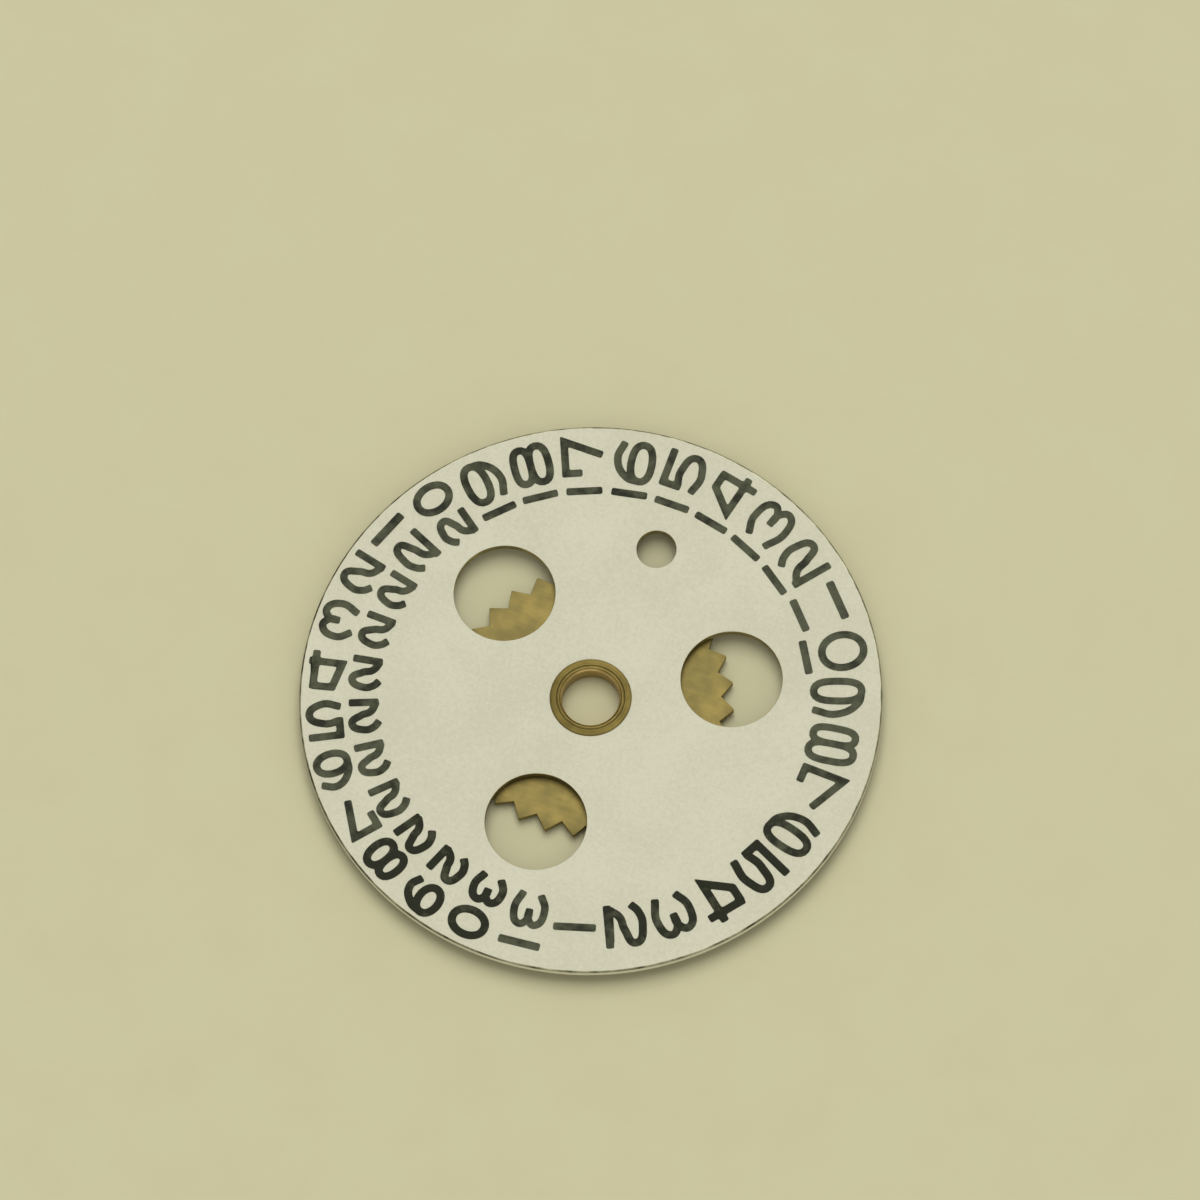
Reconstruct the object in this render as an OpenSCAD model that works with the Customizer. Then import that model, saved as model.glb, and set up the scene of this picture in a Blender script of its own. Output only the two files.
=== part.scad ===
// Mounted date disc of a watch calendar: a thin lacquered disc with three windows, a 31-tooth
// star wheel under it and the brass hub that both are riveted to. Millimetres.
// The axis of the bore is Z, the underside of the hub's foot is Z = 0, and the index hole is on +Y.
// The dates are printed on the disc's face, so they have no thickness here.

/* [Date disc] */
// Outside diameter of the disc
disc_d = 22.0; // [19:0.1:26]
// Thickness of the disc
disc_t = 0.30; // [0.2:0.01:0.5]
// Radius of the rolled-over edge round the disc's face
disc_edge_r = 0.07; // [0.03:0.01:0.18]
// Bevel round the top of each hole in the disc
hole_bevel = 0.03; // [0.01:0.01:0.06]

/* [Windows] */
// Number of round windows
window_count = 3; // [2:1:4]
// Diameter of a window
window_d = 3.84; // [3:0.02:4.4]
// Distance from the bore's axis to the centre of a window
window_pitch_r = 5.36; // [4.9:0.02:5.8]

/* [Index hole] */
// Diameter of the index hole
index_d = 1.50; // [0.8:0.02:2]
// Distance from the bore's axis to the centre of the index hole
index_pitch_r = 6.48; // [5.8:0.02:7.2]

/* [Star wheel] */
// Number of teeth, one for each date
star_teeth = 31; // [24:1:36]
// Diameter over the tips of the teeth
star_tip_d = 10.80; // [9.6:0.05:12]
// Depth of a tooth, from its tip to its root
tooth_depth = 0.48; // [0.3:0.01:0.7]
// Width of the flat on a tooth's tip
tooth_tip_w = 0.05; // [0.02:0.01:0.15]
// Thickness of the star wheel
star_t = 0.25; // [0.15:0.01:0.4]
// Turn from the index hole to the nearest tooth's tip, in degrees
star_turn = -1.85; // [-5.8:0.05:5.8]

/* [Hub] */
// Diameter of the bore that runs on the centre post
bore_d = 2.20; // [1.6:0.02:2.4]
// Bevel at each end of the bore
bore_bevel = 0.09; // [0.02:0.01:0.12]
// Diameter of the neck that carries the disc and the star wheel
neck_d = 2.72; // [2.6:0.02:2.9]
// Radial gap between the neck and the hole of each plate
seat_gap = 0.01; // [0.005:0.005:0.02]
// Diameter of the collar between the disc and the star wheel
collar_d = 3.90; // [3.4:0.02:4.6]
// Height of the collar, which is the gap between the disc and the star wheel
collar_h = 0.10; // [0.05:0.01:0.3]
// Diameter of the riveted rim on top of the disc
rim_d = 3.10; // [3.02:0.02:3.6]
// Height that the riveted rim stands proud of the disc
rim_h = 0.05; // [0.04:0.01:0.12]
// Radius of the rim's outer edge
rim_edge_r = 0.03; // [0.01:0.01:0.04]
// Diameter of the foot under the star wheel
foot_d = 3.40; // [3.02:0.02:4.4]
// Height of the foot
foot_h = 0.15; // [0.08:0.01:0.4]
// Bevel round the foot's lower edge
foot_bevel = 0.04; // [0.01:0.01:0.06]

/* [Hidden] */
$fn = 96;

// Cuts run this far past the faces that they open
cut_over = 0.05;

// Angle of the index hole about the bore, which stands midway between two windows
index_angle = 90;
window_first_angle = index_angle + 180 / window_count;

// Heights of the faces, from the foot up
star_z = foot_h;
collar_z = star_z + star_t;
disc_z = collar_z + collar_h;
face_z = disc_z + disc_t;
rim_z = face_z + rim_h;

plate_hole_r = neck_d / 2 + seat_gap;
star_tip_r = star_tip_d / 2;
star_root_r = star_tip_r - tooth_depth;
tooth_pitch = 360 / star_teeth;

// A point at radius r and angle a
function polar(r, a) = [r * cos(a), r * sin(a)];

// Half section of a round plate whose upper outer corner is rounded
module rounded_half_section(r, t, edge_r) {
    square([r - edge_r, t]);
    square([r, t - edge_r]);
    translate([r - edge_r, t - edge_r])
        circle(r = edge_r);
}

// A through hole in a plate of thickness t, with a bevel at its top
module bevelled_hole(r, t, bevel) {
    translate([0, 0, -cut_over])
        cylinder(r = r, h = t + 2 * cut_over);
    translate([0, 0, t - bevel])
        cylinder(r1 = r, r2 = r + bevel + cut_over, h = bevel + cut_over);
}

// Outline of the star: each tooth is a V with a small flat on its tip
module star_outline() {
    half_tip = asin(tooth_tip_w / 2 / star_tip_r);
    polygon([
        for (tooth = [0 : star_teeth - 1], corner = [0 : 2])
            let (middle = index_angle + star_turn + tooth * tooth_pitch)
            corner == 0 ? polar(star_tip_r, middle - half_tip)
            : corner == 1 ? polar(star_tip_r, middle + half_tip)
            : polar(star_root_r, middle + tooth_pitch / 2)
    ]);
}

// The disc, with its rolled-over edge, windows, index hole and centre hole
module date_disc() {
    color("#cfccb5")
    translate([0, 0, disc_z])
    difference() {
        rotate_extrude()
            rounded_half_section(disc_d / 2, disc_t, disc_edge_r);
        for (i = [0 : window_count - 1])
            rotate([0, 0, window_first_angle + i * 360 / window_count])
            translate([window_pitch_r, 0, 0])
                bevelled_hole(window_d / 2, disc_t, hole_bevel);
        rotate([0, 0, index_angle])
        translate([index_pitch_r, 0, 0])
            bevelled_hole(index_d / 2, disc_t, hole_bevel);
        translate([0, 0, -cut_over])
            cylinder(r = plate_hole_r, h = disc_t + 2 * cut_over);
    }
}

// The star wheel, which a finger steps one tooth a day and a jumper spring holds
module star_wheel() {
    color("#9d8a4c")
    translate([0, 0, star_z])
    difference() {
        linear_extrude(height = star_t)
            star_outline();
        translate([0, 0, -cut_over])
            cylinder(r = plate_hole_r, h = star_t + 2 * cut_over);
    }
}

// The hub: a foot, a neck with a collar between the two plates, and a rim riveted over the disc
module hub_pipe() {
    color("#86753f")
    difference() {
        union() {
            cylinder(r1 = foot_d / 2 - foot_bevel, r2 = foot_d / 2, h = foot_bevel);
            translate([0, 0, foot_bevel])
                cylinder(d = foot_d, h = foot_h - foot_bevel);
            cylinder(d = neck_d, h = rim_z);
            translate([0, 0, collar_z])
                cylinder(d = collar_d, h = collar_h);
            translate([0, 0, face_z])
            rotate_extrude()
                rounded_half_section(rim_d / 2, rim_h, rim_edge_r);
        }
        bevelled_hole(bore_d / 2, rim_z, bore_bevel);
        translate([0, 0, -cut_over])
            cylinder(r1 = bore_d / 2 + bore_bevel + cut_over, r2 = bore_d / 2, h = bore_bevel + cut_over);
    }
}

date_disc();
star_wheel();
hub_pipe();
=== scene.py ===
"""Mounted date disc of a watch calendar: lacquered disc, star wheel, hub and printed dates.

The settings hold lengths in metres. The pieces are modelled in millimetres, as a watchmaker
measures them, and are brought to metres when they are settled.
"""

import math

import bmesh
import bpy
from mathutils import Matrix, Vector


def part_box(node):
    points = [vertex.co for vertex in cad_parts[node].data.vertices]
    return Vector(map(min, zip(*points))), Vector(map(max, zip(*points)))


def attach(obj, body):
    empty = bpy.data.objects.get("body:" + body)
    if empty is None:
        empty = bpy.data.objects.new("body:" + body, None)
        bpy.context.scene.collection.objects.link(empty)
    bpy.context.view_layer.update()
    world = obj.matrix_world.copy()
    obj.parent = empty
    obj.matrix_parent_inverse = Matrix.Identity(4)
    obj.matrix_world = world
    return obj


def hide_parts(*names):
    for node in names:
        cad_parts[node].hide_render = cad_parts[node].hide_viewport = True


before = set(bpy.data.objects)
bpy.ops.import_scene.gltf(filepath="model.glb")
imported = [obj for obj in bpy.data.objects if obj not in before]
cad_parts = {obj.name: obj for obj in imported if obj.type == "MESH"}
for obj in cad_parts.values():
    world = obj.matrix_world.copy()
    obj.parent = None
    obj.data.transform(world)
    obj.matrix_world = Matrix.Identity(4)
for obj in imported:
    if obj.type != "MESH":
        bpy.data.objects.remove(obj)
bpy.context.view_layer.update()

bl_info = {
    "name": "Watch Date Disc",
    "version": (1, 0, 0),
    "blender": (4, 5, 0),
    "location": "View3D > Sidebar > Date Disc",
    "description": "Models the mounted date disc of a watch calendar",
    "category": "Mesh",
}

MM = 0.001
DISC_LOW, DISC_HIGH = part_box("date_disc")
STAR_LOW, STAR_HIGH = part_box("star_wheel")
HUB_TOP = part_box("hub_pipe")[1].z

# Steps round a whole turn of the large and the small round forms
LARGE_STEPS = 360
SMALL_STEPS = 120
# Steps round a rounded corner of a section
CORNER_STEPS = 5
# Where a cutter's roll into its hole starts, and how far it turns
ROLL_START = math.radians(180)
ROLL_TURN = math.radians(80)
# Points nearer than this, in millimetres, are one point
WELD = 0.0004
# Cutters run this far past the faces that they open, in millimetres
CUT_OVER = 0.1
# Edges sharper than this stay sharp in the shading
SHARP_ANGLE = math.radians(35)
# Most weight that the shading gives to large faces over small ones
FULL_WEIGHT = 100
# Edges of the star wheel sharper than this are rounded, in so many steps
STAMPED_EDGE = math.radians(60)
STAMPED_STEPS = 2

# Places of the disc's worn and bare finishes, after its lacquer
WORN_SLOT = 1
BARE_SLOT = 2
# Inside the disc's edge, a face that leans further than this from level is bare metal
BARE_LEAN = math.cos(math.radians(50))
# At the disc's edge, a face that leans less than this from level is worn, and the wall is not
WALL_LEAN = math.cos(math.radians(75))

# Decimals with which the panel shows a length, and channels of a colour without its alpha
LENGTH_DECIMALS = 5
RGB = 3
# The standard's curve from sRGB to linear: a straight foot, and a power above it
FOOT_END = 0.04045
FOOT_SLOPE = 12.92
CURVE_OFFSET = 0.055
CURVE_POWER = 2.4
FULL_CHANNEL = 255


def length(name, description, default):
    """A length that a user may change, in metres"""
    return bpy.props.FloatProperty(
        name=name, description=description, default=default, min=0.0, precision=LENGTH_DECIMALS,
        unit="LENGTH", subtype="DISTANCE",
    )


def amount(name, description, default):
    """A plain amount that a user may change"""
    return bpy.props.FloatProperty(name=name, description=description, default=default, min=0.0)


def angle(name, description, degrees):
    """An angle that a user may change"""
    return bpy.props.FloatProperty(
        name=name, description=description, default=math.radians(degrees), subtype="ANGLE",
    )


def whole_number(name, description, default, **limits):
    """A whole number that a user may change"""
    return bpy.props.IntProperty(name=name, description=description, default=default, **limits)


def tone(name, description, hex_code):
    """A colour that a user may change, from its sRGB hex code"""
    return bpy.props.FloatVectorProperty(
        name=name, description=description, default=linear(hex_code)[:RGB], size=RGB,
        min=0.0, max=1.0, subtype="COLOR",
    )


def group(kind, name, description):
    """A group of settings of one kind"""
    return bpy.props.PointerProperty(type=kind, name=name, description=description)


def linear(hex_code):
    """Linear RGBA of an sRGB hex code"""
    channels = [int(hex_code[i:i + 2], 16) / FULL_CHANNEL for i in (1, 3, 5)]
    return (*(
        c / FOOT_SLOPE if c <= FOOT_END else ((c + CURVE_OFFSET) / (1 + CURVE_OFFSET)) ** CURVE_POWER
        for c in channels
    ), 1.0)


class DateDiscPlateSizes(bpy.types.PropertyGroup):
    radius: length("Radius", "Outside radius of the disc", DISC_HIGH.x)
    underside: length("Underside", "Height of the disc's underside", DISC_LOW.z)
    face: length("Face", "Height of the printed face", DISC_HIGH.z)
    shoulder: length("Shoulder", "Radius of the rolled-over edge, which is worn bare", 0.07 * MM)
    lower_round: length("Lower rounding", "Radius of the disc's lower edge", 0.03 * MM)
    coat: length("Coat", "Thickness of the lacquer", 0.010 * MM)
    coat_round: length("Coat rounding", "Radius of the lacquer's edge", 0.006 * MM)
    hole_round: length("Hole rounding", "Radius of the lacquer's roll into each hole", 0.03 * MM)
    centre_hole: length("Centre hole", "Radius of the hole for the hub", 1.37 * MM)
    window: length("Window", "Radius of a window", 1.92 * MM)
    window_pitch: length("Window pitch", "Distance of a window's centre from the bore's axis", 5.36 * MM)
    window_count: whole_number("Windows", "Number of windows", 3, min=1)
    index_hole: length("Index hole", "Radius of the index hole", 0.75 * MM)
    index_pitch: length("Index pitch", "Distance of the index hole from the bore's axis", 6.48 * MM)
    index_angle: angle("Index angle", "Place of the index hole round the bore", 90)


class DateDiscStarSizes(bpy.types.PropertyGroup):
    teeth: whole_number("Teeth", "One tooth for each date", 31, min=3)
    tip_radius: length("Tip radius", "Radius over the tips of the teeth", 5.40 * MM)
    tooth_depth: length("Tooth depth", "Depth of a tooth, from its tip to its root", 0.48 * MM)
    tip_width: length("Tip width", "Width of the flat on a tooth's tip", 0.05 * MM)
    turn: angle("Turn", "Turn from the index hole to the nearest tooth's tip", -1.85)
    underside: length("Underside", "Height of the star wheel's underside", STAR_LOW.z)
    upper: length("Upper face", "Height of the star wheel's upper face", STAR_HIGH.z)
    edge_bevel: length("Edge bevel", "Width of the stamped edge's rounding", 0.012 * MM)


class DateDiscHubSizes(bpy.types.PropertyGroup):
    bore: length("Bore", "Radius of the bore that runs on the centre post", 1.10 * MM)
    bore_bevel: length("Bore bevel", "Width of the bevel at each end of the bore", 0.09 * MM)
    neck: length("Neck", "Radius of the neck that carries the disc and the star wheel", 1.36 * MM)
    collar: length("Collar", "Radius of the collar between the disc and the star wheel", 1.95 * MM)
    rim: length("Rim", "Radius of the rim that is riveted over the disc", 1.55 * MM)
    rim_round: length("Rim rounding", "Radius of the rim's rolled edge", 0.02 * MM)
    crown: length("Crown", "Drop of the rim's top towards its outer edge", 0.028 * MM)
    valley: length("Riveting line", "Radius of the riveting tool's line in the rim", 1.28 * MM)
    groove: length("Riveting line's depth", "Depth of that line", 0.014 * MM)
    foot: length("Foot", "Radius of the foot under the star wheel", 1.70 * MM)
    foot_bevel: length("Foot bevel", "Width of the bevel round the foot", 0.04 * MM)
    fine_round: length("Fine rounding", "Radius of the hub's other edges", 0.012 * MM)
    top: length("Top", "Height of the rim's top", HUB_TOP)


class DateDiscDateSizes(bpy.types.PropertyGroup):
    count: whole_number("Dates", "Number of dates", 31, min=1, max=31)
    first_angle: angle("First date", "Place of the first date round the bore", 289.0)
    stroke: length("Stroke", "Width of a printed stroke", 0.29 * MM)
    unit_low: length("Unit drop", "Reach of a unit below the date's middle line", 0.83 * MM)
    unit_high: length("Unit rise", "Reach of a unit above the date's middle line", 0.78 * MM)
    ten_low: length("Ten drop", "Reach of the ten's bar below the date's middle line", 0.72 * MM)
    ten_high: length("Ten rise", "Reach of the ten's bar above the date's middle line", 0.65 * MM)
    twenty_low: length("Twenty drop", "Reach of a tens figure below the date's middle line", 0.80 * MM)
    twenty_high: length("Twenty rise", "Reach of a tens figure above the date's middle line", 0.61 * MM)
    ink: length("Ink", "Height of the ink on the lacquer", 0.010 * MM)
    bite: length("Bite", "Depth that the ink bites into the lacquer", 0.002 * MM)
    corner: length("Corner", "Width of a printed corner's rounding", 0.075 * MM)


class DateDiscFinishes(bpy.types.PropertyGroup):
    lacquer_light: tone("Lacquer, light", "Silver-white lacquer where it is cleanest", "#d2d0b8")
    lacquer_dark: tone("Lacquer, dark", "Silver-white lacquer where it has toned", "#c8c6ac")
    # The worn edge runs between these colours by its random tarnish, and by a painted sheen that makes
    # it lighter towards the right of the view
    worn_light: tone("Worn edge, light", "Metal of the disc's edge where it is rubbed", "#a8a68a")
    worn_dark: tone("Worn edge, dark", "Metal of the disc's edge where it has tarnished", "#454430")
    bare_light: tone("Bare blank, light", "Brass of the disc's back where it is clean", "#aa9b66")
    bare_dark: tone("Bare blank, dark", "Brass of the disc's back where it has toned", "#7c714b")
    star_light: tone("Star wheel, light", "Rolled brass where it is clean", "#877845")
    star_dark: tone("Star wheel, dark", "Rolled brass where it has toned", "#7f7447")
    hub_light: tone("Hub, light", "Turned brass on the crests of the tool marks", "#65582e")
    hub_dark: tone("Hub, dark", "Turned brass in the tool marks and where it has toned", "#463d1f")
    bore_bright: tone("Hub, rubbed", "Turned brass that has been rubbed bright", "#b9a064")
    # This near-black colour is painted shade in the shallow riveting line
    grime: tone("Grime", "Old oil and dirt in the riveting line", "#332d1c")
    ink_light: tone("Ink, light", "Printing ink where it is thin", "#535642")
    ink_dark: tone("Ink, dark", "Printing ink where it is full", "#202211")
    ground_light: tone("Ground, light", "Pale paper of the ground where it is lighter", "#cecaa4")
    ground_dark: tone("Ground, dark", "Pale paper where it is darker", "#ccc7a1")
    sky: tone("Sky", "Light from all round", "#f4f2ea")


class DateDiscStageSizes(bpy.types.PropertyGroup):
    lens: amount("Lens", "Focal length in millimetres", 420.0)
    camera_place: bpy.props.FloatVectorProperty(
        name="Camera place", description="Where the camera stands", size=3, precision=LENGTH_DECIMALS,
        default=(84.45 * MM, -166.67 * MM, 494.37 * MM), subtype="TRANSLATION", unit="LENGTH",
    )
    camera_azimuth: angle("Camera azimuth", "Turn of the view round the disc", 26.677)
    camera_elevation: angle("Camera elevation", "Height of the view above the ground", 68.870)
    camera_roll: angle("Camera roll", "Turn of the picture about the line of sight", -4.372)
    ground: length("Ground", "Side of the ground", 3.0)
    key: amount("Key light", "Power of the main light", 3.6)
    fill: amount("Fill light", "Power of the soft light opposite", 1.0)
    horizon: amount("Horizon", "Strength of the light from all round, low down", 1.4)
    zenith: amount("Zenith", "Strength of the light from high up", 0.45)
    haze: amount("Haze", "How high the light of the horizon reaches, as a sine", 0.4)


class DateDiscSettings(bpy.types.PropertyGroup):
    plate: group(DateDiscPlateSizes, "Disc", "Sizes of the disc")
    star: group(DateDiscStarSizes, "Star wheel", "Sizes of the star wheel")
    hub: group(DateDiscHubSizes, "Hub", "Sizes of the hub")
    dates: group(DateDiscDateSizes, "Dates", "Sizes of the dates")
    finish: group(DateDiscFinishes, "Finishes", "Colours of the finishes")
    stage: group(DateDiscStageSizes, "Stage", "Camera, lights and ground")


def mm(metres):
    """A length of the settings in millimetres"""
    return metres / MM


# Modelling steps

def clear_selection():
    """Leaves nothing selected, so that an operator acts on the new piece alone"""
    if bpy.context.object and bpy.context.object.mode != "OBJECT":
        bpy.ops.object.mode_set(mode="OBJECT")
    bpy.ops.object.select_all(action="DESELECT")


def select_only(piece):
    """Makes a piece the active one, with nothing else selected"""
    clear_selection()
    bpy.context.view_layer.objects.active = piece
    piece.select_set(True)


def edit(piece, select_all=True):
    """Opens a piece in edit mode, by vertices"""
    select_only(piece)
    bpy.ops.object.mode_set(mode="EDIT")
    bpy.ops.mesh.select_mode(type="VERT")
    bpy.ops.mesh.select_all(action="SELECT" if select_all else "DESELECT")


def select_edges(piece, wanted):
    """Selects, in edit mode, the edges that a test wants"""
    edit(piece, select_all=False)
    bpy.ops.mesh.select_mode(type="EDGE")
    shape = bmesh.from_edit_mesh(piece.data)
    for edge in shape.edges:
        edge.select_set(wanted(edge))
    shape.select_flush_mode()
    bmesh.update_edit_mesh(piece.data)


def face_outwards():
    """Selects all of the piece in edit mode, and turns its faces outwards"""
    bpy.ops.mesh.select_all(action="SELECT")
    bpy.ops.mesh.normals_make_consistent(inside=False)


def rounded(corners):
    """Points of a closed outline, whose corners are (x, y, radius of the rounding)"""
    points = []
    for i, (x, y, radius) in enumerate(corners):
        corner = Vector((x, y))
        if not radius:
            points.append(corner)
            continue
        back = (Vector(corners[i - 1][:2]) - corner).normalized()
        ahead = (Vector(corners[(i + 1) % len(corners)][:2]) - corner).normalized()
        half = back.angle(ahead) / 2
        centre = corner + (back + ahead).normalized() * (radius / math.sin(half))
        start = (corner + back * (radius / math.tan(half)) - centre).normalized()
        end = (corner + ahead * (radius / math.tan(half)) - centre).normalized()
        turns = [start.slerp(end, k / CORNER_STEPS) for k in range(CORNER_STEPS + 1)]
        points += [centre + turn * radius for turn in turns]
    return points


def turn_piece(name, section, steps):
    """A piece turned about Z from its closed half section, as points (radius, height)"""
    clear_selection()
    bpy.ops.mesh.primitive_plane_add(size=1, location=(0, 0, 0))
    piece = bpy.context.object
    piece.name = name
    edit(piece)
    bpy.ops.mesh.merge(type="CENTER")
    bpy.ops.transform.translate(value=(section[0][0], 0, section[0][1]))
    for here, ahead in zip(section, section[1:] + section[:1]):
        step = (ahead[0] - here[0], 0, ahead[1] - here[1])
        bpy.ops.mesh.extrude_region_move(TRANSFORM_OT_translate={"value": step})
    bpy.ops.mesh.select_all(action="SELECT")
    bpy.ops.mesh.remove_doubles(threshold=WELD)
    bpy.ops.mesh.spin(steps=steps, angle=math.tau, center=(0, 0, 0), axis=(0, 0, 1))
    bpy.ops.mesh.select_all(action="SELECT")
    bpy.ops.mesh.remove_doubles(threshold=WELD)
    face_outwards()
    clear_selection()
    return piece


def apply_place(piece):
    """Puts a piece's place, turn and scale into its mesh"""
    select_only(piece)
    bpy.ops.object.transform_apply(location=True, rotation=True, scale=True)


def apply_modifier(piece, kind, **settings):
    """Adds a modifier with its settings and applies it"""
    modifier = piece.modifiers.new(kind.title(), kind)
    for name, value in settings.items():
        setattr(modifier, name, value)
    select_only(piece)
    bpy.ops.object.modifier_apply(modifier=modifier.name)


def combine(piece, other, operation):
    """Cuts the other piece out of a piece, or unites them, and removes the other"""
    apply_modifier(piece, "BOOLEAN", object=other, operation=operation, solver="EXACT")
    bpy.data.objects.remove(other)


def join(piece, others):
    """Makes other pieces part of a piece"""
    select_only(piece)
    for other in others:
        other.select_set(True)
    bpy.ops.object.join()


def copy_piece(piece, name):
    """A copy of a piece with a mesh of its own"""
    twin = piece.copy()
    twin.data = piece.data.copy()
    twin.name = name
    bpy.context.collection.objects.link(twin)
    return twin


def settle(piece, materials, bevelled=False):
    """Brings a piece to metres, shades it, gives it its finish and puts it on its body"""
    piece.scale = (MM, MM, MM)
    apply_place(piece)
    bpy.ops.object.shade_smooth_by_angle(angle=SHARP_ANGLE)
    if bevelled:
        apply_modifier(piece, "WEIGHTED_NORMAL", keep_sharp=True, weight=FULL_WEIGHT)
    for material in materials:
        piece.data.materials.append(material)
    piece.data.name = piece.name
    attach(piece, "root")


# Materials

# Spacing of each pattern in millimetres, and its detail and roughness as the noise takes them. The
# lacquer's real grain is about 0.02 mm, too fine to show, so it is drawn coarser.
LACQUER_CLOUDS = (2.4, 3.0, 0.55)
LACQUER_GRAIN = (0.1, 2.0, 0.5)
BRASS_STAINS = (0.8, 4.0, 0.6)
STAMPING_MARKS = (0.05, 2.0, 0.5)
STAR_TONING = (0.7, 3.0, 0.55)
ROLLING_LINES = (0.06, 2.0, 0.5)
HUB_TONING = (0.7, 4.0, 0.6)
TOOL_MARKS = (0.04, 2.0, 0.5)
INK_COVER = (0.6, 4.0, 0.6)
PAPER_CLOUDS = (3.0, 5.0, 0.6)

# Scale of a pattern along each axis: the lacquer's grain runs both ways across the blank, stamping
# marks run up the walls, rolling lines run along X, and the hub's radius leaves the height out
GRAIN_RUNS = ((0.35, 1.0, 1.0), (1.0, 0.35, 1.0))
UP_THE_WALL = (1.0, 1.0, 0.2)
ALONG_X = (0.06, 1.0, 1.0)
NO_HEIGHT = (1.0, 1.0, 0.0)

# Values between which a noise lies mostly, the sum of the lacquer's two grains, and the sum of the
# hub's toning and tool marks
ONE_NOISE = (0.3, 0.7)
BOTH_GRAINS = (0.6, 1.4)
HUB_NOISES = (0.65, 1.35)

# Values of each pattern at which its finish has its dark and its light colour
LACQUER_TONES = (1.27, 1.73)
BRASS_TONES = (0.35, 0.70)
STAR_TONES = (0.50, 0.85)
HUB_TONES = (0.30, 0.60)
INK_TONES = (0.35, 0.60)
PAPER_TONES = (0.35, 0.65)

# Roughness of each finish where its pattern is faint, and where it is full
LACQUER_ROUGHNESS = (0.50, 0.62)
BRASS_ROUGHNESS = (0.45, 0.28)
STAR_ROUGHNESS = (0.60, 0.52)
HUB_ROUGHNESS = (0.42, 0.26)
INK_ROUGHNESS = (0.42, 0.60)
PAPER_ROUGHNESS = (0.75, 0.90)

# Depth of each relief, in metres, and the strength of the bump that shows it
LACQUER_RELIEF = (0.006 * MM, 0.5)
BRASS_RELIEF = (0.004 * MM, 0.3)
STAR_RELIEF = (0.004 * MM, 0.12)
HUB_RELIEF = (0.004 * MM, 0.3)
INK_RELIEF = (0.004 * MM, 0.3)

# How much the rolling lines add to the star wheel's toning
LINES_SHARE = 0.35

# How clean the hub's brass is, from 0 for the painted shade in the riveting line to 1 for rubbed bright,
# and the part of that which its uneven toning adds
GROOVE_SHADE = 0.0
TONED = 0.10
BORE_CLEAN = 0.58
LIP_CLEAN = 0.15
TONING_SHARE = 0.35
# Widths on top of the hub, in metres: how much of the bore's bevel tones towards its lip, how far past
# the lip the brass has toned, half of the dark band painted in the riveting line as its shade, and where
# that painted shade has faded
BEVEL_TONING = 0.06 * MM
LIP_TONING = 0.02 * MM
GROOVE_SHADE_HALF = 0.03 * MM
GROOVE_SHADE_FADE = 0.06 * MM

# Direction towards which the worn edge is painted lighter, a painted sheen on the right of the view, and
# by how much in a metre
SHEEN_ANGLE = math.radians(34)
SHEEN_SIDE = (math.cos(SHEEN_ANGLE), math.sin(SHEEN_ANGLE), 0.0)
EDGE_SHEEN = 4.6

# Name of the attribute on a date's points that says how heavily it is inked, and how far a full value
# takes the ink's tone. That darkening is painted shade, standing for the sheen that the dates further
# back catch and the front ones lack
INK_LOAD_AND_SHADE = "ink_load_and_shade"
PAINTED_INK_SHADE = 0.22


def add_node(tree, kind, inputs=None, **settings):
    """Adds a node to a tree with its settings, and sets or links its inputs"""
    node = tree.nodes.new(kind)
    for name, value in settings.items():
        setattr(node, name, value)
    for socket, value in (inputs or {}).items():
        if isinstance(value, bpy.types.NodeSocket):
            tree.links.new(value, node.inputs[socket])
        else:
            node.inputs[socket].default_value = value
    return node


def rgba(colour):
    """A colour of the settings as RGBA"""
    return (*colour, 1.0)


def new_material(name, **constants):
    """A material with its Principled shader, and the tree, the shader and Object coordinates"""
    material = bpy.data.materials.new(name)
    material.use_nodes = True
    tree = material.node_tree
    shader = tree.nodes["Principled BSDF"]
    for socket, value in constants.items():
        shader.inputs[socket.replace("_", " ")].default_value = value
    place = add_node(tree, "ShaderNodeTexCoord").outputs["Object"]
    return material, tree, shader, place


def noise(tree, place, pattern, dimensions="3D"):
    """Noise of one pattern, round a place or, in 1D, along a length"""
    spacing, detail, roughness = pattern
    return add_node(tree, "ShaderNodeTexNoise", {
        "W" if dimensions == "1D" else "Vector": place, "Scale": 1.0 / (spacing * MM),
        "Detail": detail, "Roughness": roughness,
    }, noise_dimensions=dimensions).outputs["Fac"]


def scaled(tree, place, scale):
    """A place scaled along each axis, which draws a pattern out"""
    return add_node(tree, "ShaderNodeMapping", {"Vector": place, "Scale": scale}).outputs["Vector"]


def add(tree, first, second):
    """Sum of two values"""
    return add_node(tree, "ShaderNodeMath", {0: first, 1: second}, operation="ADD").outputs["Value"]


def add_share(tree, first, share, second):
    """Sum of a share of the first value and all of the second"""
    return add_node(
        tree, "ShaderNodeMath", {0: first, 1: share, 2: second}, operation="MULTIPLY_ADD",
    ).outputs["Value"]


def spread(tree, value, bounds, results=(0.0, 1.0)):
    """Spreads the values between two bounds from one result to the other"""
    return add_node(tree, "ShaderNodeMapRange", {
        "Value": value, "From Min": bounds[0], "From Max": bounds[1],
        "To Min": results[0], "To Max": results[1],
    }).outputs["Result"]


def ramp(tree, value, stops):
    """Colour of a value, from stops (value, colour)"""
    node = add_node(tree, "ShaderNodeValToRGB", {"Fac": value})
    elements = node.color_ramp.elements
    while len(elements) < len(stops):
        elements.new(1.0)
    for element, (stop, colour) in zip(elements, stops):
        element.position = stop
        element.color = rgba(colour)
    return node.outputs["Color"]


def tones(tree, value, bounds, dark, light):
    """Colour of a value: dark up to the first bound, and light from the second"""
    return ramp(tree, spread(tree, value, bounds), [(0.0, dark), (1.0, light)])


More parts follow.
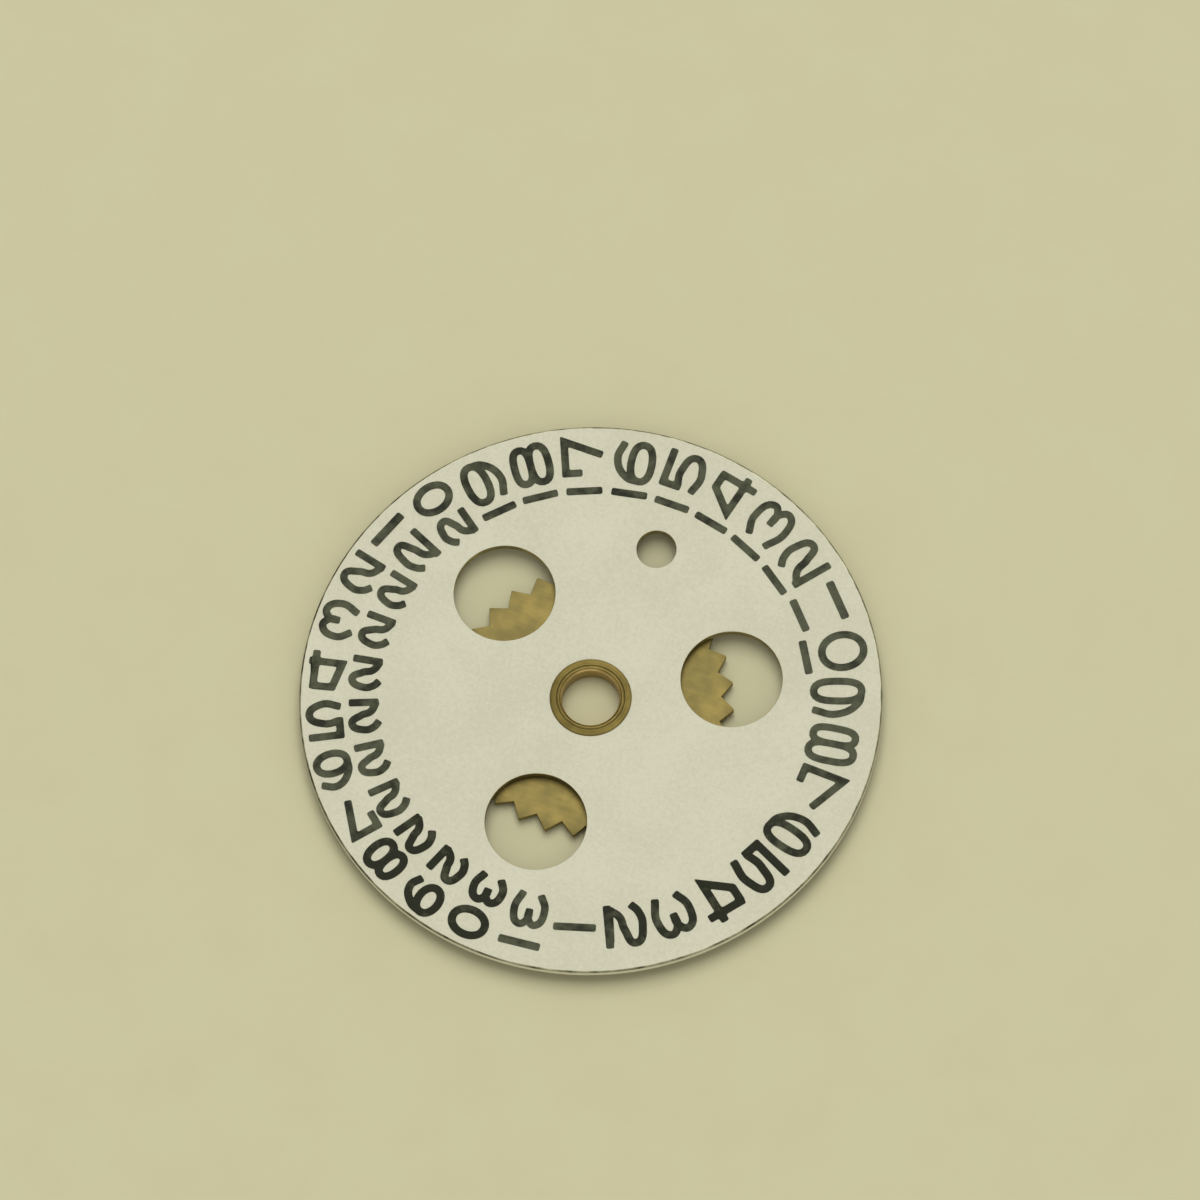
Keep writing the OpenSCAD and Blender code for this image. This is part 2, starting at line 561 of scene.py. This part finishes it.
def feed_shader(tree, shader, colour, gloss, heights=None, relief=None):
    """Links the colour and the roughness to a shader, and shows the heights in relief"""
    tree.links.new(colour, shader.inputs["Base Color"])
    tree.links.new(gloss, shader.inputs["Roughness"])
    if relief:
        distance, strength = relief
        bump = add_node(tree, "ShaderNodeBump", {
            "Height": heights, "Distance": distance, "Strength": strength,
        })
        tree.links.new(bump.outputs["Normal"], shader.inputs["Normal"])


def dial_lacquer(finish):
    """Silver-white dial lacquer, sprayed over a grained blank: satin, with a fine grain and
    slight clouds where it has toned"""
    material, tree, shader, place = new_material("silver_white_dial_lacquer", IOR=1.5)
    clouds = noise(tree, place, LACQUER_CLOUDS)
    weave = add(tree, *(noise(tree, scaled(tree, place, run), LACQUER_GRAIN) for run in GRAIN_RUNS))
    mixed = add(tree, clouds, weave)
    colour = tones(tree, mixed, LACQUER_TONES, finish.lacquer_dark, finish.lacquer_light)
    gloss = spread(tree, weave, BOTH_GRAINS, LACQUER_ROUGHNESS)
    feed_shader(tree, shader, colour, gloss, weave, LACQUER_RELIEF)
    return material


def stamped_brass(name, light, dark, sheen_share=0.0):
    """Brass of the blank where no lacquer covers it: stamped, and toned in uneven clouds from a light to
    a dark colour. A painted sheen makes it lighter by the given share per metre towards one side of the
    disc"""
    material, tree, shader, place = new_material(name, Metallic=1.0)
    stain = noise(tree, place, BRASS_STAINS)
    streaks = noise(tree, scaled(tree, place, UP_THE_WALL), STAMPING_MARKS)
    # Painted sheen: the brass is painted lighter towards one side and darker towards the other
    side_sheen = add_node(tree, "ShaderNodeVectorMath", {
        0: place, 1: [sheen_share * share for share in SHEEN_SIDE],
    }, operation="DOT_PRODUCT").outputs["Value"]
    colour = tones(tree, add(tree, stain, side_sheen), BRASS_TONES, dark, light)
    gloss = spread(tree, stain, ONE_NOISE, BRASS_ROUGHNESS)
    feed_shader(tree, shader, colour, gloss, streaks, BRASS_RELIEF)
    return material


def rolled_brass(finish):
    """Rolled and stamped brass strip: satin, with faint rolling lines and uneven toning"""
    material, tree, shader, place = new_material("rolled_brass_strip", Metallic=1.0)
    toning = noise(tree, place, STAR_TONING)
    lines = noise(tree, scaled(tree, place, ALONG_X), ROLLING_LINES)
    mixed = add_share(tree, lines, LINES_SHARE, toning)
    colour = tones(tree, mixed, STAR_TONES, finish.star_dark, finish.star_light)
    gloss = spread(tree, mixed, STAR_TONES, STAR_ROUGHNESS)
    feed_shader(tree, shader, colour, gloss, lines, STAR_RELIEF)
    return material


def turned_brass(finish, lip, valley):
    """Turned and riveted brass: the tool has left fine rings, whose tops are bright. The bore is rubbed
    clean, its lip at the given radius is toned again, and the riveting line is painted dark as its shade"""
    material, tree, shader, place = new_material("turned_brass_rod", Metallic=1.0)
    flat = scaled(tree, place, NO_HEIGHT)
    radius = add_node(tree, "ShaderNodeVectorMath", {0: flat}, operation="LENGTH").outputs["Value"]
    height = add_node(tree, "ShaderNodeSeparateXYZ", {0: place}).outputs["Z"]
    rings = noise(tree, add(tree, radius, height), TOOL_MARKS, "1D")
    mixed = add(tree, noise(tree, place, HUB_TONING), rings)
    # How clean the brass is, by its distance from the bore's axis out to twice the riveting line, where
    # a dark band is painted as the groove's shade
    far = 2 * valley
    clean = ramp(tree, spread(tree, radius, (0.0, far)), [
        (stop / far, [level] * RGB)
        for stop, level in [
            (lip - BEVEL_TONING, BORE_CLEAN), (lip, LIP_CLEAN), (lip + LIP_TONING, TONED),
            (valley - GROOVE_SHADE_HALF, GROOVE_SHADE), (valley + GROOVE_SHADE_HALF, GROOVE_SHADE), (valley + GROOVE_SHADE_FADE, TONED),
        ]
    ])
    worked = add_share(tree, mixed, TONING_SHARE, clean)
    colour = ramp(tree, worked, [
        (0.0, finish.grime), (HUB_TONES[0], finish.hub_dark), (HUB_TONES[1], finish.hub_light),
        (1.0, finish.bore_bright),
    ])
    gloss = spread(tree, mixed, HUB_NOISES, HUB_ROUGHNESS)
    feed_shader(tree, shader, colour, gloss, rings, HUB_RELIEF)
    return material


def printing_ink(finish):
    """Pad-printed ink: an olive black, nearly matt, that lies unevenly, so some of it is thinner. A
    heavily inked date is drawn blacker; that is painted shade, standing for the sheen that the dates at
    the front lack"""
    material, tree, shader, place = new_material("pad_printing_ink", IOR=1.48, Specular_IOR_Level=0.12)
    cover = noise(tree, place, INK_COVER)
    load_and_shade = add_node(tree, "ShaderNodeAttribute", attribute_name=INK_LOAD_AND_SHADE).outputs["Fac"]
    # Painted shade: a date with a high value, most of them at the front, is drawn blacker
    thinness_and_shade = add_share(tree, load_and_shade, -PAINTED_INK_SHADE, cover)
    colour = tones(tree, thinness_and_shade, INK_TONES, finish.ink_dark, finish.ink_light)
    gloss = spread(tree, cover, ONE_NOISE, INK_ROUGHNESS)
    feed_shader(tree, shader, colour, gloss, cover, INK_RELIEF)
    return material


def pale_paper(finish):
    """Smooth pale paper of the ground, with faint clouds"""
    material, tree, shader, place = new_material("pale_paper", IOR=1.5)
    clouds = noise(tree, place, PAPER_CLOUDS)
    colour = tones(tree, clouds, PAPER_TONES, finish.ground_dark, finish.ground_light)
    gloss = spread(tree, clouds, (0.0, 1.0), PAPER_ROUGHNESS)
    feed_shader(tree, shader, colour, gloss)
    return material


# Disc

def hole_cutter(radius, bottom, top, edge_round):
    """A round cutter that rolls the upper edge of its hole over"""
    centre = Vector((radius + edge_round, top - edge_round))
    # The roll stops short of level, so that the cutter crosses the face cleanly
    roll = [ROLL_START - ROLL_TURN * k / CORNER_STEPS for k in range(CORNER_STEPS + 1)]
    arc = [centre + Vector((math.cos(a), math.sin(a))) * edge_round for a in roll]
    run = Vector((math.sin(roll[-1]), -math.cos(roll[-1])))
    lip = arc[-1] + run * CUT_OVER
    section = [
        Vector((0, bottom - CUT_OVER)), Vector((radius, bottom - CUT_OVER)), *arc, lip,
        Vector((lip.x, top + CUT_OVER)), Vector((0, top + CUT_OVER)),
    ]
    return turn_piece("hole_cutter", section, SMALL_STEPS)


def blank_section(size):
    """Half section of the disc: the brass blank with its rolled shoulder, and the coat on its face"""
    radius, hole = mm(size.radius), mm(size.centre_hole)
    bottom, top = mm(size.underside), mm(size.face)
    coat, shoulder = mm(size.coat), mm(size.shoulder)
    coat_radius = radius - shoulder
    return rounded([
        (hole, bottom, 0),
        (radius, bottom, mm(size.lower_round)),
        (radius, top - coat, shoulder - mm(size.coat_round)),
        (coat_radius, top - coat, 0),
        (coat_radius, top, mm(size.coat_round)),
        (hole, top, 0),
    ])


class DATEDISC_OT_plate(bpy.types.Operator):
    """Models the lacquered disc with its windows and index hole"""

    bl_idname = "date_disc.plate"
    bl_label = "Lacquered Disc"

    def execute(self, context):
        settings = context.scene.date_disc
        size = settings.plate
        disc = turn_piece("date_disc_plate", blank_section(size), LARGE_STEPS)
        bottom, top = mm(size.underside), mm(size.face)
        first = size.index_angle + math.pi / size.window_count
        places = [(mm(size.index_hole), mm(size.index_pitch), size.index_angle)]
        places += [
            (mm(size.window), mm(size.window_pitch), first + i * math.tau / size.window_count)
            for i in range(size.window_count)
        ]
        for radius, pitch, turn in places:
            cutter = hole_cutter(radius, bottom, top, mm(size.hole_round))
            cutter.location = (pitch * math.cos(turn), pitch * math.sin(turn), 0)
            apply_place(cutter)
            combine(disc, cutter, "DIFFERENCE")
        finish = settings.finish
        finishes = [
            dial_lacquer(finish),
            # The shoulder's clouds are tarnish; its lightening towards the right of the view is painted
            # sheen
            stamped_brass("worn_brass_shoulder", finish.worn_light, finish.worn_dark, EDGE_SHEEN),
            stamped_brass("bare_brass_blank", finish.bare_light, finish.bare_dark),
        ]
        settle(disc, finishes, bevelled=True)
        coat_radius = size.radius - size.shoulder
        for face in disc.data.polygons:
            outside = math.hypot(face.center.x, face.center.y) > coat_radius
            if outside and face.normal.z > WALL_LEAN:
                face.material_index = WORN_SLOT
            elif not outside and face.normal.z < BARE_LEAN:
                face.material_index = BARE_SLOT
        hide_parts("date_disc")
        return {"FINISHED"}


# Star wheel

class DATEDISC_OT_star_wheel(bpy.types.Operator):
    """Models the star wheel: one tooth, copied round a body, and made a plate"""

    bl_idname = "date_disc.star_wheel"
    bl_label = "Star Wheel"

    def execute(self, context):
        settings = context.scene.date_disc
        size = settings.star
        pitch = math.tau / size.teeth
        tip, root = mm(size.tip_radius), mm(size.tip_radius - size.tooth_depth)
        base = 2 * root * math.sin(pitch / 2)
        inner = root * math.cos(pitch / 2)
        bottom, top = mm(size.underside), mm(size.upper)

        clear_selection()
        bpy.ops.mesh.primitive_circle_add(
            vertices=size.teeth, radius=root, fill_type="NGON", rotation=(0, 0, size.turn + pitch / 2),
        )
        body = bpy.context.object
        body.name = "star_wheel_stamping"
        apply_place(body)

        clear_selection()
        bpy.ops.mesh.primitive_plane_add(size=base, location=(0, (inner + tip) / 2, 0))
        tooth = bpy.context.object
        tooth.scale.y = (tip - inner) / base
        apply_place(tooth)
        select_edges(tooth, lambda edge: all(vertex.co.y > inner + WELD for vertex in edge.verts))
        bpy.ops.transform.resize(value=(mm(size.tip_width) / base, 1, 1), center_override=(0, tip, 0))
        bpy.ops.object.mode_set(mode="OBJECT")
        tooth.rotation_euler.z = size.turn
        apply_place(tooth)
        edit(tooth)
        bpy.ops.mesh.spin(
            steps=size.teeth, dupli=True, angle=math.tau, center=(0, 0, 0), axis=(0, 0, 1),
        )

        join(body, [tooth])
        edit(body)
        bpy.ops.mesh.remove_doubles(threshold=WELD)
        face_outwards()
        bpy.ops.mesh.extrude_region_move(TRANSFORM_OT_translate={"value": (0, 0, top - bottom)})
        face_outwards()
        clear_selection()
        body.location.z = bottom
        apply_place(body)

        hole = mm(settings.plate.centre_hole)
        low, high = bottom - CUT_OVER, top + CUT_OVER
        section = [(0, low), (hole, low), (hole, high), (0, high)]
        cutter = turn_piece("star_hole_cutter", section, SMALL_STEPS)
        combine(body, cutter, "DIFFERENCE")
        apply_modifier(
            body, "BEVEL", width=mm(size.edge_bevel), segments=STAMPED_STEPS,
            limit_method="ANGLE", angle_limit=STAMPED_EDGE,
        )
        settle(body, [rolled_brass(settings.finish)], bevelled=True)
        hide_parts("star_wheel")
        return {"FINISHED"}


# Hub

class DATEDISC_OT_hub(bpy.types.Operator):
    """Models the turned hub: foot, neck, collar and riveted rim"""

    bl_idname = "date_disc.hub"
    bl_label = "Hub"

    def execute(self, context):
        settings = context.scene.date_disc
        size = settings.hub
        bore, bevel, neck, collar = mm(size.bore), mm(size.bore_bevel), mm(size.neck), mm(size.collar)
        foot, foot_bevel, fine = mm(size.foot), mm(size.foot_bevel), mm(size.fine_round)
        rim, roll, top, crown = mm(size.rim), mm(size.rim_round), mm(size.top), mm(size.crown)
        valley, groove = mm(size.valley), mm(size.groove)
        star_low, star_high = mm(settings.star.underside), mm(settings.star.upper)
        disc_low, face = mm(settings.plate.underside), mm(settings.plate.face)
        section = rounded([
            (bore, bevel, fine),
            (bore + bevel, 0, fine),
            (foot - foot_bevel, 0, fine),
            (foot, foot_bevel, fine),
            (foot, star_low, fine),
            (neck, star_low, 0),
            (neck, star_high, 0),
            (collar, star_high, fine),
            (collar, disc_low, fine),
            (neck, disc_low, 0),
            (neck, face, 0),
            (rim, face, 0),
            (rim, top - crown, roll),
            (valley + 2 * groove, top, roll),
            (valley, top - groove, fine),
            (bore + bevel, top, fine),
            (bore, top - bevel, fine),
        ])
        hub = turn_piece("hub_turning", section, SMALL_STEPS)
        brass = turned_brass(settings.finish, size.bore + size.bore_bevel, size.valley)
        settle(hub, [brass], bevelled=True)
        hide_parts("hub_pipe")
        return {"FINISHED"}


# Dates

# The figures' middle lines in a unit box. SMOOTH points are drawn round and CORNER points sharp.
SMOOTH = "AUTO"
CORNER = "VECTOR"
OPEN = False
CLOSED = True


def smooth(*points):
    """Points of a round stroke"""
    return [(x, y, SMOOTH) for x, y in points]


def straight(*points):
    """Points of a stroke with sharp corners"""
    return [(x, y, CORNER) for x, y in points]


def half_turned(strokes):
    """Strokes turned half round in their box"""
    return [(closed, [(1 - x, 1 - y, kind) for x, y, kind in points]) for closed, points in strokes]


SIX = [
    (CLOSED, smooth((0.0, 0.30), (0.50, 0.0), (1.0, 0.30), (0.54, 0.60))),
    (OPEN, smooth((1.03, 0.86), (0.52, 1.0), (0.07, 0.66), (0.0, 0.30))),
]
TWO = [
    (OPEN, smooth(
        (-0.06, 0.72), (0.16, 0.92), (0.54, 1.0), (1.0, 0.74), (0.62, 0.47), (0.24, 0.36), (0.0, 0.04),
    )),
    (OPEN, straight((-0.10, 0.05), (1.06, -0.02))),
]
FIGURES = {
    "0": [(CLOSED, smooth((0.0, 0.5), (0.5, 1.0), (1.0, 0.5), (0.5, 0.0)))],
    "2": TWO,
    "2 broad": TWO + [(OPEN, straight((-0.05, 0.11), (0.90, 0.01)))],
    "3": [
        (OPEN, smooth((-0.04, 0.74), (0.42, 1.0), (0.95, 0.80), (0.82, 0.55), (0.46, 0.50))),
        (OPEN, smooth((0.46, 0.50), (0.84, 0.49), (1.0, 0.25), (0.60, -0.01), (-0.05, 0.15))),
    ],
    "4": [
        (OPEN, straight((0.84, -0.11), (0.84, 1.08))),
        (OPEN, straight((0.84, 0.98), (0.45, 0.98), (0.0, 0.28), (1.08, 0.27))),
    ],
    "4 narrow": [
        (OPEN, straight((0.86, -0.11), (0.86, 1.08))),
        (OPEN, straight((0.86, 0.98), (0.24, 0.98), (0.0, 0.24), (1.08, 0.22))),
    ],
    "5": [
        (OPEN, straight((1.08, 0.99), (0.04, 0.97), (0.04, 0.43))),
        (OPEN, smooth((0.04, 0.53), (0.52, 0.59), (1.0, 0.30), (0.58, -0.01), (-0.04, 0.11))),
    ],
    "6": SIX,
    "7": [(OPEN, straight((0.02, 0.50), (0.01, 0.98), (1.0, 1.0), (0.54, -0.10)))],
    "8": [
        (CLOSED, smooth((0.03, 0.76), (0.5, 1.0), (0.97, 0.76), (0.5, 0.53))),
        (CLOSED, smooth((0.0, 0.27), (0.5, 0.53), (1.0, 0.27), (0.5, 0.0))),
    ],
    "9": half_turned(SIX),
}

# Figures that were drawn otherwise, by their date and place in it
OTHER_SHAPES = {("2", 0): "2 broad", ("24", 1): "4 narrow"}

# Inner and outer reach of each figure from the bore's axis, in millimetres. Single figures are
# drawn wide, the units after a ten narrower, and the units after a twenty narrowest.
SINGLES = {
    "1": (9.05, 9.35), "2": (8.34, 10.12), "3": (8.36, 10.15), "4": (8.43, 10.36), "5": (8.38, 10.30),
    "6": (8.32, 10.32), "7": (8.40, 10.25), "8": (8.31, 10.32), "9": (8.26, 10.36),
}
UNITS_AFTER_TEN = {
    "0": (8.74, 10.62), "1": (9.93, 10.25), "2": (8.82, 10.52), "3": (8.80, 10.61), "4": (8.88, 10.68),
    "5": (8.93, 10.59), "6": (8.76, 10.55), "7": (8.95, 10.57), "8": (8.80, 10.59), "9": (8.75, 10.60),
}
UNITS_AFTER_TWENTY = {
    "0": (9.43, 10.73), "1": (10.16, 10.50), "2": (9.36, 10.76), "3": (9.33, 10.77), "4": (9.33, 10.80),
    "5": (9.31, 10.77), "6": (9.33, 10.80), "7": (9.27, 10.58), "8": (9.28, 10.74), "9": (9.40, 10.80),
}
UNITS_AFTER_THIRTY = {"0": (9.39, 10.70), "1": (9.98, 10.29)}
UNITS = {"1": UNITS_AFTER_TEN, "2": UNITS_AFTER_TWENTY, "3": UNITS_AFTER_THIRTY}
TENS = {"1": (8.23, 8.52), "2": (7.92, 9.19), "3": (7.95, 9.21)}
# Tens that stand elsewhere, because a narrow unit follows them or the print has slipped
MOVED_TENS = {
    "10": (8.11, 8.41), "11": (8.38, 8.68), "19": (8.19, 8.49), "20": (7.96, 9.24), "21": (8.13, 9.69),
    "27": (7.87, 9.23), "28": (7.86, 9.20), "29": (7.88, 9.20), "30": (7.88, 9.22), "31": (8.01, 9.54),
}

# How far the figures of a date, first the tens and last the units, stand off its middle line, in
# millimetres. The print is not quite even round the disc.
DRIFTS = {
    "2": [0.04], "3": [0.02], "4": [-0.02], "5": [-0.05], "6": [-0.06], "7": [0.05], "8": [0.02],
    "9": [0.04], "10": [0.01, -0.03], "12": [0.01, 0.0], "13": [0.02, 0.01], "14": [-0.01, -0.02],
    "15": [-0.04, -0.02], "16": [-0.06, -0.07], "17": [-0.05, -0.02], "18": [-0.06, -0.05],
    "19": [-0.10, -0.08], "20": [-0.01, -0.09], "21": [0.0, -0.06], "22": [-0.05, -0.10],
    "23": [-0.02, -0.08], "24": [0.0, -0.02], "25": [-0.02, -0.04], "26": [0.0, -0.07],
    "27": [0.04, 0.03], "28": [0.07, -0.02], "29": [0.10, 0.01], "30": [0.12, -0.03],
    "31": [0.11, 0.0],
}

# How heavily the pad inked a date, which also sets its painted shade. A date that isn't listed has 0,
# the usual value. About 1 is full, which draws it broader and, as painted shade that falls mostly on the
# dates at the front, blacker; below 0 it is thin.
INK_LOADS_AND_SHADE = {
    "1": -0.2, "2": 0.6, "3": 0.6, "4": 1.1, "5": 1.1, "6": 0.4, "7": 0.1, "8": -0.2, "9": -0.2,
    "11": -0.3, "13": -0.2, "16": 0.1, "17": 0.1, "18": 0.2, "19": 0.2, "20": 0.1, "22": -0.1,
    "24": 0.1, "25": 0.1, "27": 0.1, "28": 0.8, "29": 0.9, "30": 0.8,
}
# Share by which a full value broadens the strokes
BROADER = 0.09

# Steps between two points of a round stroke
STROKE_STEPS = 8
# Folds flatter than this are smoothed out of a figure's flat faces
FLAT_FOLD = math.radians(0.5)
# Corners of a figure sharper than this are rounded, as ink draws them, in so many steps
PRINT_CORNER = math.radians(40)
PRINT_STEPS = 3


def draw_stroke(points, closed, width, height):
    """One stroke of constant width and height along a line through points (x, y, kind)"""
    clear_selection()
    bpy.ops.curve.primitive_bezier_curve_add(location=(0, 0, 0))
    stroke = bpy.context.object
    spline = stroke.data.splines[0]
    spline.bezier_points.add(len(points) - len(spline.bezier_points))
    spline.use_cyclic_u = closed
    spline.resolution_u = STROKE_STEPS
    stroke.data.resolution_u = STROKE_STEPS
    for point, (x, y, kind) in zip(spline.bezier_points, points):
        point.co = (x, y, 0)
        point.handle_left_type = kind
        point.handle_right_type = kind
    bpy.ops.object.convert(target="MESH")
    edit(stroke)
    bpy.ops.mesh.remove_doubles(threshold=WELD)
    bpy.ops.mesh.extrude_region_move(TRANSFORM_OT_translate={"value": (0, 0, height)})
    face_outwards()
    clear_selection()
    apply_modifier(stroke, "SOLIDIFY", thickness=width, offset=0.0, use_even_offset=True)
    return stroke


def draw_figure(strokes, box, width, height):
    """A figure in its box (left, right, bottom, top), from its strokes in a unit box"""
    left, right, bottom, top = box
    wide, tall = right - left - width, top - bottom - width
    start_x, start_y = left + width / 2, bottom + width / 2
    drawn = [
        draw_stroke(
            [(start_x + x * wide, start_y + y * tall, kind) for x, y, kind in points],
            closed, width, height,
        )
        for closed, points in strokes
    ]
    figure = drawn[0]
    for other in drawn[1:]:
        combine(figure, other, "UNION")
    return figure


def draw_bar(box, height):
    """The figure one: a plain bar that fills its box"""
    left, right, bottom, top = box
    middle = (left + right) / 2
    return draw_stroke([(middle, bottom, CORNER), (middle, top, CORNER)], OPEN, right - left, height)


def figure_box(size, date, place):
    """Box (left, right, bottom, top) of one figure of a date"""
    digit = date[place]
    if len(date) == 1:
        reach = SINGLES[digit]
    elif place == 0:
        reach = MOVED_TENS.get(date, TENS[digit])
    else:
        reach = UNITS[date[0]][digit]
    if place == len(date) - 1:
        return (*reach, -mm(size.unit_low), mm(size.unit_high))
    if digit == "1":
        return (*reach, -mm(size.ten_low), mm(size.ten_high))
    return (*reach, -mm(size.twenty_low), mm(size.twenty_high))


def is_print_corner(edge):
    """Whether an edge stands upright at a sharp corner of a figure"""
    upright = (edge.verts[0].co - edge.verts[1].co).xy.length < WELD
    return upright and edge.calc_face_angle(0) > PRINT_CORNER


def note_ink_load(piece, load_and_shade):
    """Notes on every point of a date how heavily it is inked, for the ink's tone, which also carries the
    painted shade of the dates at the front
    """
    notes = piece.data.attributes.new(INK_LOAD_AND_SHADE, "FLOAT", "POINT")
    for note in notes.data:
        note.value = load_and_shade


def clean_figure(piece, corner):
    """Dissolves the folds in the flat faces and rounds the printed corners"""
    edit(piece)
    bpy.ops.mesh.dissolve_limited(angle_limit=FLAT_FOLD)
    face_outwards()
    select_edges(piece, is_print_corner)
    bpy.ops.mesh.bevel(offset=corner, segments=PRINT_STEPS, affect="EDGES")
    clear_selection()


class DATEDISC_OT_dates(bpy.types.Operator):
    """Prints the dates on the disc's face"""

    bl_idname = "date_disc.dates"
    bl_label = "Printed Dates"

    def execute(self, context):
        settings = context.scene.date_disc
        size = settings.dates
        ink = printing_ink(settings.finish)
        height = mm(size.ink + size.bite)
        drawn = {}
        for number in range(1, size.count + 1):
            date = str(number)
            load_and_shade = INK_LOADS_AND_SHADE.get(date, 0.0)
            stroke = mm(size.stroke) * (1 + BROADER * load_and_shade)
            figures = []
            for place, digit in enumerate(date):
                box = figure_box(size, date, place)
                shape = OTHER_SHAPES.get((date, place), digit)
                key = (shape, box, stroke)
                if key not in drawn:
                    if digit == "1":
                        figure = draw_bar(box, height)
                    else:
                        figure = draw_figure(FIGURES[shape], box, stroke, height)
                    clean_figure(figure, mm(size.corner))
                    drawn[key] = figure
                figure = copy_piece(drawn[key], "figure")
                if date in DRIFTS:
                    figure.location.y = DRIFTS[date][place]
                    apply_place(figure)
                figures.append(figure)
            piece, *others = figures
            if others:
                join(piece, others)
            note_ink_load(piece, load_and_shade)
            piece.name = f"date_{number:02d}"
            piece.location.z = mm(settings.plate.face - size.bite)
            piece.rotation_euler.z = size.first_angle + (number - 1) * math.tau / size.count
            apply_place(piece)
            settle(piece, [ink])
        for figure in drawn.values():
            bpy.data.objects.remove(figure)
        return {"FINISHED"}


# Stage

# Width of the film that the lens is given for, in millimetres
FILM_WIDTH = 36.0
# Nearest and farthest that the camera sees, in metres
NEAREST = 0.01
FARTHEST = 10.0
# Cuts across the ground along each side
GROUND_CUTS = 7
# Each light: its direction from the disc as the picture shows it (right, away, up), and its
# distance, width and depth in metres
KEY_LIGHT = ((0.06, 0.43, 1.0), 0.8, 0.50, 0.70)
FILL_LIGHT = ((0.1, -1.0, 0.7), 0.8, 0.80, 0.80)


class DATEDISC_OT_stage(bpy.types.Operator):
    """Sets the camera, the ground and the soft light"""

    bl_idname = "date_disc.stage"
    bl_label = "Stage"

    def execute(self, context):
        settings = context.scene.date_disc
        size = settings.stage
        clear_selection()
        bpy.ops.object.camera_add()
        camera = bpy.context.object
        camera.name = "camera"
        camera.data.lens = size.lens
        camera.data.sensor_width = FILM_WIDTH
        camera.data.clip_start = NEAREST
        camera.data.clip_end = FARTHEST
        camera.data.dof.use_dof = False
        turn = (
            Matrix.Rotation(size.camera_azimuth, 3, "Z")
            @ Matrix.Rotation(math.pi / 2 - size.camera_elevation, 3, "X")
            @ Matrix.Rotation(size.camera_roll, 3, "Z")
        )
        camera.matrix_world = Matrix.Translation(size.camera_place) @ turn.to_4x4()
        context.scene.camera = camera

        clear_selection()
        bpy.ops.mesh.primitive_plane_add(size=size.ground, location=(0, 0, 0))
        ground = bpy.context.object
        ground.name = "ground"
        edit(ground)
        bpy.ops.mesh.subdivide(number_cuts=GROUND_CUTS)
        clear_selection()
        ground.data.materials.append(pale_paper(settings.finish))

        lights = [("key", *KEY_LIGHT, size.key), ("fill", *FILL_LIGHT, size.fill)]
        facing = Matrix.Rotation(size.camera_azimuth, 3, "Z")
        for name, direction, distance, width, depth, power in lights:
            place = facing @ Vector(direction).normalized() * distance
            clear_selection()
            bpy.ops.object.light_add(
                type="AREA", location=place, rotation=place.to_track_quat("Z", "Y").to_euler(),
            )
            light = bpy.context.object
            light.name = name
            light.data.shape = "RECTANGLE"
            light.data.size = width
            light.data.size_y = depth
            light.data.energy = power

        world = bpy.data.worlds.new("soft_sky")
        world.use_nodes = True
        tree = world.node_tree
        background = tree.nodes["Background"]
        background.inputs["Color"].default_value = rgba(settings.finish.sky)
        direction = add_node(tree, "ShaderNodeTexCoord").outputs["Generated"]
        height = add_node(tree, "ShaderNodeSeparateXYZ", {0: direction}).outputs["Z"]
        strength = spread(tree, height, (0.0, size.haze), (size.horizon, size.zenith))
        tree.links.new(strength, background.inputs["Strength"])
        context.scene.world = world
        context.scene.view_settings.view_transform = "Standard"
        return {"FINISHED"}


class DATEDISC_PT_panel(bpy.types.Panel):
    """Lists the date disc's pieces and their settings"""

    bl_idname = "DATEDISC_PT_panel"
    bl_label = "Date Disc"
    bl_space_type = "VIEW_3D"
    bl_region_type = "UI"
    bl_category = "Date Disc"

    def draw(self, context):
        settings = context.scene.date_disc
        for label, part, operators in PANEL_ROWS:
            box = self.layout.box()
            box.label(text=label)
            values = getattr(settings, part)
            for name in values.__annotations__:
                box.prop(values, name)
            for operator in operators:
                box.operator(operator)


# Heading, settings and operators of each part of the panel
PANEL_ROWS = [
    ("Disc", "plate", ["date_disc.plate"]),
    ("Star wheel", "star", ["date_disc.star_wheel"]),
    ("Hub", "hub", ["date_disc.hub"]),
    ("Dates", "dates", ["date_disc.dates"]),
    ("Finishes", "finish", []),
    ("Stage", "stage", ["date_disc.stage"]),
]

CLASSES = (
    DateDiscPlateSizes,
    DateDiscStarSizes,
    DateDiscHubSizes,
    DateDiscDateSizes,
    DateDiscFinishes,
    DateDiscStageSizes,
    DateDiscSettings,
    DATEDISC_OT_plate,
    DATEDISC_OT_star_wheel,
    DATEDISC_OT_hub,
    DATEDISC_OT_dates,
    DATEDISC_OT_stage,
    DATEDISC_PT_panel,
)


def register():
    for cls in CLASSES:
        bpy.utils.register_class(cls)
    bpy.types.Scene.date_disc = group(DateDiscSettings, "Date disc", "Settings of the date disc")


def unregister():
    del bpy.types.Scene.date_disc
    for cls in reversed(CLASSES):
        bpy.utils.unregister_class(cls)


def main():
    register()
    bpy.ops.date_disc.stage()
    bpy.ops.date_disc.plate()
    bpy.ops.date_disc.star_wheel()
    bpy.ops.date_disc.hub()
    bpy.ops.date_disc.dates()


if __name__ == "__main__":
    main()
